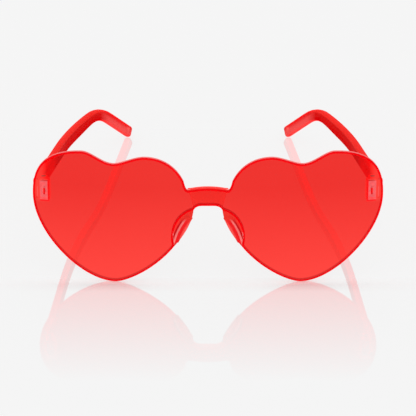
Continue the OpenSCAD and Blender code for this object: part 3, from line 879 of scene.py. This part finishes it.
def rim_plastic(f):
    """The sheet's cut edge: deep red painted shade, a pale painted highlight where its upper side
    catches the light, and painted glow, stronger on its lower side.
    """
    material, tree, shader = new_material("Lens rim")
    facing = parts(tree, coordinates(tree, "Normal"))
    across = maths(tree, "ABSOLUTE", parts(tree, coordinates(tree, "Object"))["X"])
    # Painted highlight where the cut edge looks up and not forward.
    up = mapped(tree, facing["Z"], *RIM_UP)
    pale = maths(tree, "MULTIPLY", up, mapped(tree, facing["Y"], *RIM_FLAT))
    # Painted shade: the cut edge's deep red, clouded by the dye.
    deep = blend(tree, dye(tree, CLOUDS["rim"]), f.deep_painted_shade, f.dense_deep_painted_shade)
    # The painted highlight, redder on the bridge.
    light = blend(tree, mapped(tree, across, *BRIDGE_MIDDLE), f.rim_painted_highlight, f.bridge_painted_highlight)
    # Painted glow, stronger where the cut edge looks down, and none under the painted highlight.
    glow = blend(tree, mapped(tree, facing["Z"], *RIM_DOWN), f.rim_painted_glow, f.low_rim_painted_glow)
    dress(tree, shader, blend(tree, pale, deep, light), blend(tree, pale, glow, NO_GLOW),
          RIM_MARKS, f.rim_clear, f.rim_bend)
    return material


def solid_plastic(name, f, scale, tint, glow):
    """Thick clear plastic with painted glow, and painted light in a pale tone on the face that is
    bonded to the sheet.
    """
    material, tree, shader = new_material(name)
    # Painted light: a pale tone and painted glow on the face that meets the sheet.
    bonded = mapped(tree, parts(tree, coordinates(tree, "Normal"))["Y"], *BONDED_PAINTED_LIGHT)
    side = blend(tree, dye(tree, scale), tint, [DENSE_SOLID * x for x in tint])
    dress(tree, shader, blend(tree, bonded, side, f.bonded), blend(tree, bonded, glow, f.bonded_painted_glow),
          MOULDED_MARKS, f.solid_clear, f.solid_bend, SOLID_COAT)
    return material


def painted_pad_lines(tree, f, place):
    """The curved painted highlight and painted shade lines, by the distance from their centre on
    either pad.
    """
    beside = maths(tree, "ABSOLUTE", place["X"])
    flat = add_node(tree, "ShaderNodeCombineXYZ", {"X": beside, "Z": place["Z"]}).outputs["Vector"]
    reach = add_node(tree, "ShaderNodeVectorMath", {0: flat, 1: f.painted_pad_line_centre}, operation="DISTANCE")
    share = mapped(tree, reach.outputs["Value"], *f.painted_pad_line_reach)
    lines = add_node(tree, "ShaderNodeValToRGB", {"Fac": share})
    stops = lines.color_ramp.elements
    while len(stops) < len(PAD_PAINTED_LIGHT_AND_SHADE):
        stops.new(1)
    for stop, (at, colour) in zip(stops, PAD_PAINTED_LIGHT_AND_SHADE):
        stop.position = at
        stop.color = (*colour, 1)
    return lines.outputs["Color"]


def pad_plastic(f):
    """Thick clear plastic with painted glow, and the painted highlight and painted shade lines where
    the leaf behind it shows.
    """
    material, tree, shader = new_material("Pad plastic")
    place = parts(tree, coordinates(tree, "Object"))
    front = mapped(tree, parts(tree, coordinates(tree, "Normal"))["Y"], *PAD_FRONT)
    high = mapped(tree, place["Z"], *PAD_HIGH)
    low = mapped(tree, place["Z"], *PAD_LOW)
    # Where the painted lines show: on the pad's front, between two heights.
    painted_lines_shown = maths(tree, "MULTIPLY", maths(tree, "MULTIPLY", high, low), front)
    plain_tone = blend(tree, dye(tree, CLOUDS["pad"]), f.pad, f.pad_dense)
    # Painted lines on the pad's front, and painted glow, stronger in the lines.
    dress(tree, shader, blend(tree, painted_lines_shown, plain_tone, painted_pad_lines(tree, f, place)),
          blend(tree, painted_lines_shown, f.pad_painted_glow, f.pad_line_painted_glow),
          MOULDED_MARKS, f.pad_clear, f.solid_bend, SOLID_COAT)
    return material


def temple_plastic(f):
    """Thick clear red plastic with painted light and shade: the arm is lighter along its top, with
    painted shade on its sides, and the ear piece is lighter along its side, with painted shade on its
    top; painted glow all over.
    """
    material, tree, shader = new_material("Temple plastic")
    spot = coordinates(tree, "Object")
    place = parts(tree, spot)
    facing = parts(tree, coordinates(tree, "Normal"))
    up = mapped(tree, facing["Z"], *TEMPLE_TOP)
    under = mapped(tree, facing["Z"], *TEMPLE_UNDER)
    front = mapped(tree, facing["Y"], *TEMPLE_FRONT)
    near = mapped(tree, place["Y"], *HINGE_END)
    hooked = mapped(tree, place["Y"], *EAR_BEND)
    across = add_node(tree, "ShaderNodeVectorMath", {0: spot, 1: EAR_ACROSS}, operation="DOT_PRODUCT")
    ridge = mapped(tree, across.outputs["Value"], *EAR_RIDGE)
    # Painted shade on the ear piece's top and at its tip; painted light on its sides.
    dark = maths(tree, "MAXIMUM", ridge, mapped(tree, place["Y"], *EAR_TIP))
    # Painted shade on the arm's faces that don't look up.
    tint = blend(tree, hooked, blend(tree, up, f.side_painted_shade, f.plastic),
                 blend(tree, dark, f.ear_side_painted_light, f.ear_top_painted_shade))
    tint = blend(tree, dye(tree, CLOUDS["temple"]), tint, DENSE_TEMPLE, blend_type="MULTIPLY")
    # Painted glow along the arm, and on the ear piece's sides and top.
    glow = blend(tree, hooked, f.temple_glow, blend(tree, dark, f.ear_side_painted_glow, f.ear_top_painted_glow))
    # Painted glow near the hinge, on faces that don't look up.
    glow = blend(tree, near, glow, blend(tree, up, f.hinge_painted_glow, f.temple_glow))
    # Painted glow on faces that look down.
    glow = blend(tree, under, glow, f.underside_painted_glow)
    coat = maths(tree, "MULTIPLY", mapped(tree, hooked, 0, 1, up, 1), f.temple_coat)
    # Painted light: a pale tone and painted glow on faces that look forward.
    dress(tree, shader, blend(tree, front, tint, f.bonded), blend(tree, front, glow, f.temple_end_painted_glow),
          MOULDED_MARKS, f.temple_clear, f.temple_bend, coat)
    return material


def mottled(name, scale, first, second, marks, levels):
    """A surface of two tones, smudged but not scratched, and its shader's other levels."""
    material, tree, shader = new_material(name)
    feed(tree, shader.inputs["Base Color"], blend(tree, dye(tree, scale), first, second))
    mark(tree, shader, marks, scratched=False)
    for label, level in levels.items():
        shader.inputs[label].default_value = level
    arrange(tree)
    return material


def frosted_adhesive(f):
    """Frosted adhesive: cloudy and half clear."""
    levels = {"Transmission Weight": ADHESIVE_CLEAR, "IOR": ADHESIVE_BEND}
    return mottled("Frosted adhesive", CLOUDS["adhesive"], f.adhesive, DENSE_ADHESIVE,
                   ADHESIVE_MARKS, levels)


def plated_steel(f):
    """Plated steel, worn and dull in places."""
    return mottled("Plated steel", CLOUDS["steel"], f.steel, WORN_STEEL, STEEL_MARKS, {"Metallic": 1})


def floor_finish(f):
    """A pale polished floor that mirrors what stands on it and fades out round about."""
    material, tree, shader = new_material("Polished floor")
    tree.nodes.remove(shader)
    along = parts(tree, coordinates(tree, "Object"))["Y"]
    matt = add_node(tree, "ShaderNodeBsdfDiffuse", {"Color": f.floor})
    plain_tone = add_node(tree, "ShaderNodeEmission", {"Color": f.floor})
    gloss = add_node(tree, "ShaderNodeBsdfGlossy", {"Color": (1, 1, 1), "Roughness": 0})
    from_tips = maths(tree, "ABSOLUTE", maths(tree, "ADD", along, TIP_LINE))
    evenly = mapped(tree, from_tips, 0, TIP_REACH, f.tip_floor, f.even_floor)
    share = maths(tree, "MULTIPLY", seen_directly(tree), evenly)
    under = layered(tree, share, matt.outputs["BSDF"], plain_tone.outputs["Emission"])
    away = maths(tree, "ABSOLUTE", along)
    mirror = mapped(tree, away, FADE_START, FADE_START + f.mirror_reach, f.mirror, 0)
    whole = layered(tree, mirror, under, gloss.outputs["BSDF"])
    feed(tree, tree.nodes["Material Output"].inputs["Surface"], whole)
    arrange(tree)
    return material


def studio_light(tree, f):
    """Soft light from all round, stronger from above, in front of a plain pale background."""
    height = parts(tree, coordinates(tree, "Generated"))["Z"]
    room = tree.nodes["Background"]
    feed(tree, room.inputs["Color"], mapped(tree, height, 0, 1, LIGHT_BELOW, LIGHT_ABOVE))
    feed(tree, room.inputs["Strength"], f.light)
    backdrop = add_node(tree, "ShaderNodeBackground", {"Color": f.floor})
    lit, plain_tone = room.outputs["Background"], backdrop.outputs["Background"]
    whole = layered(tree, seen_directly(tree), lit, plain_tone)
    feed(tree, tree.nodes["World Output"].inputs["Surface"], whole)
    arrange(tree)


# Operators

# The floor: how far it reaches, its drop below the tips, in metres, and its cuts per side.
FLOOR_REACH = 4
FLOOR_DROP = 0.0003
FLOOR_CUTS = 4
# The photo's view: the camera's place and how far it sees, in metres, its tilt in degrees,
# and its focal length and sensor in millimetres.
CAMERA_PLACE = (0, -0.82468, 0.4344)
CAMERA_FAR = 20
CAMERA_TILT = 62.08
CAMERA_LENS = 175.93
CAMERA_SENSOR = 36
# How often light may pass through the plastic and be mirrored.
CLEAR_BOUNCES = 24
MIRROR_BOUNCES = 12


def settings(context):
    """The sizes, and the finish with its painted light and shade, that the panel shows."""
    return context.scene.sunglasses_sizes, context.scene.sunglasses_finish



class SUNGLASSES_OT_lens(bpy.types.Operator):
    """Makes the curved sheet with its two hearts and the bridge"""
    bl_idname = "sunglasses.lens"
    bl_label = "Lens"

    def execute(self, context):
        s, f = settings(context)
        bm = flat_plate(lens_outline(s), 0, s.lens_t)
        round_edges(bm, s.rim_round, PLATE_SHARP)
        line_edges(bm, s.rim_painted_shade_line)
        bend_round_face(bm, s.lens_r)
        mark_rim(bm)
        stand_like(bm, "lens_front")
        finished(bm, "lens", "front", "lens_plastic", "lens_front", lens_plastic(f), rim_plastic(f))
        return {"FINISHED"}


class SUNGLASSES_OT_saddle(bpy.types.Operator):
    """Makes the plate that is bonded behind the bridge"""
    bl_idname = "sunglasses.saddle"
    bl_label = "Saddle"

    def execute(self, context):
        s, f = settings(context)
        bm = flat_plate(saddle_outline(s), s.lens_t + s.glue_gap, s.lens_t + s.saddle_t)
        round_edges(bm, s.rim_round, PLATE_SHARP)
        bend_round_face(bm, s.lens_r)
        stand_like(bm, "nose_saddle")
        # The saddle's own colour, with painted glow.
        plastic = solid_plastic("Saddle plastic", f, CLOUDS["saddle"], f.saddle_rim, f.saddle_painted_glow)
        finished(bm, "saddle", "front", "saddle_plastic", "nose_saddle", plastic)
        return {"FINISHED"}


class SUNGLASSES_OT_nose_pads(bpy.types.Operator):
    """Makes the two moulded nose pads"""
    bl_idname = "sunglasses.nose_pads"
    bl_label = "Nose pads"

    def execute(self, context):
        s, f = settings(context)
        moulded_pair("nose_pad", "pad", "front", "pad_plastic", pad_plastic(f),
                     gap=s.glue_gap, radius=s.moulded_round, sharper_than=PAD_SHARP)
        return {"FINISHED"}


class SUNGLASSES_OT_adhesive(bpy.types.Operator):
    """Makes the frosted adhesive between the sheet and the end blocks"""
    bl_idname = "sunglasses.adhesive"
    bl_label = "Adhesive"

    def execute(self, context):
        s, f = settings(context)
        moulded_pair("bond", "adhesive", "front", "adhesive", frosted_adhesive(f), gap=s.glue_gap)
        return {"FINISHED"}


class SUNGLASSES_OT_end_blocks(bpy.types.Operator):
    """Makes the moulded hinge blocks behind the outer ends of the sheet"""
    bl_idname = "sunglasses.end_blocks"
    bl_label = "End blocks"

    def execute(self, context):
        s, f = settings(context)
        # The blocks' own colour, with painted glow.
        plastic = solid_plastic("Block plastic", f, CLOUDS["block"], f.block, f.block_painted_glow)
        moulded_pair("end_block", "block", "front", "block_plastic", plastic, radius=s.moulded_round)
        return {"FINISHED"}


class SUNGLASSES_OT_screws(bpy.types.Operator):
    """Makes the slotted steel hinge screws"""
    bl_idname = "sunglasses.screws"
    bl_label = "Hinge screws"

    def execute(self, context):
        s, f = settings(context)
        moulded_pair("hinge_screw", "screw", "front", "screw_steel", plated_steel(f),
                     radius=s.moulded_round * SCREW_SHARE, segments=SCREW_FACES)
        return {"FINISHED"}


class SUNGLASSES_OT_temples(bpy.types.Operator):
    """Makes the two temples with their hinge knuckles and ear pieces"""
    bl_idname = "sunglasses.temples"
    bl_label = "Temples"

    def execute(self, context):
        s, f = settings(context)
        moulded_pair("temple", "temple_arm", "temple_{}", "temple_plastic", temple_plastic(f),
                     radius=s.moulded_round)
        return {"FINISHED"}


class SUNGLASSES_OT_stage(bpy.types.Operator):
    """Makes the floor, the light and the camera"""
    bl_idname = "sunglasses.stage"
    bl_label = "Stage"

    def execute(self, context):
        f = context.scene.sunglasses_finish
        bm = bmesh.new()
        bmesh.ops.create_grid(bm, x_segments=FLOOR_CUTS, y_segments=FLOOR_CUTS, size=FLOOR_REACH)
        bmesh.ops.translate(bm, verts=bm.verts, vec=(0, 0, -FLOOR_DROP))
        mesh = bpy.data.meshes.new("floor")
        bm.to_mesh(mesh)
        bm.free()
        mesh.materials.append(floor_finish(f))
        floor = bpy.data.objects.new("floor", mesh)
        context.scene.collection.objects.link(floor)

        world = bpy.data.worlds.new("Studio")
        world.use_nodes = True
        studio_light(world.node_tree, f)
        context.scene.world = world
        context.scene.cycles.caustics_refractive = False
        context.scene.cycles.max_bounces = CLEAR_BOUNCES
        context.scene.cycles.transmission_bounces = CLEAR_BOUNCES
        context.scene.cycles.glossy_bounces = MIRROR_BOUNCES

        lens = bpy.data.cameras.new("Camera")
        lens.sensor_width = CAMERA_SENSOR
        lens.lens = CAMERA_LENS
        lens.clip_end = CAMERA_FAR
        camera = bpy.data.objects.new("Camera", lens)
        camera.location = CAMERA_PLACE
        camera.rotation_euler = (math.radians(CAMERA_TILT), 0, 0)
        context.scene.collection.objects.link(camera)
        context.scene.camera = camera
        context.scene.view_settings.view_transform = "Standard"
        return {"FINISHED"}


MAKERS = (
    SUNGLASSES_OT_lens, SUNGLASSES_OT_saddle, SUNGLASSES_OT_nose_pads,
    SUNGLASSES_OT_adhesive, SUNGLASSES_OT_end_blocks, SUNGLASSES_OT_screws,
    SUNGLASSES_OT_temples, SUNGLASSES_OT_stage,
)


class SUNGLASSES_PT_panel(bpy.types.Panel):
    """Lists the sizes, the finishes with their painted light and shade, and the pieces"""
    bl_idname = "SUNGLASSES_PT_panel"
    bl_label = "Heart shaped sunglasses"
    bl_space_type = "VIEW_3D"
    bl_region_type = "UI"
    bl_category = "Sunglasses"

    def draw(self, context):
        for group in settings(context):
            box = self.layout.box()
            for name in group.__annotations__:
                box.prop(group, name)
        for maker in MAKERS:
            self.layout.operator(maker.bl_idname)


CLASSES = (SunglassesSizes, SunglassesFinishAndPaintedLight) + MAKERS + (SUNGLASSES_PT_panel,)


def register():
    for cls in CLASSES:
        bpy.utils.register_class(cls)
    bpy.types.Scene.sunglasses_sizes = PointerProperty(type=SunglassesSizes)
    bpy.types.Scene.sunglasses_finish = PointerProperty(type=SunglassesFinishAndPaintedLight)


def unregister():
    del bpy.types.Scene.sunglasses_finish
    del bpy.types.Scene.sunglasses_sizes
    for cls in reversed(CLASSES):
        bpy.utils.unregister_class(cls)


def main():
    register()
    bpy.ops.sunglasses.lens()
    bpy.ops.sunglasses.saddle()
    bpy.ops.sunglasses.nose_pads()
    bpy.ops.sunglasses.adhesive()
    bpy.ops.sunglasses.end_blocks()
    bpy.ops.sunglasses.screws()
    bpy.ops.sunglasses.temples()
    bpy.ops.sunglasses.stage()


if __name__ == "__main__":
    main()
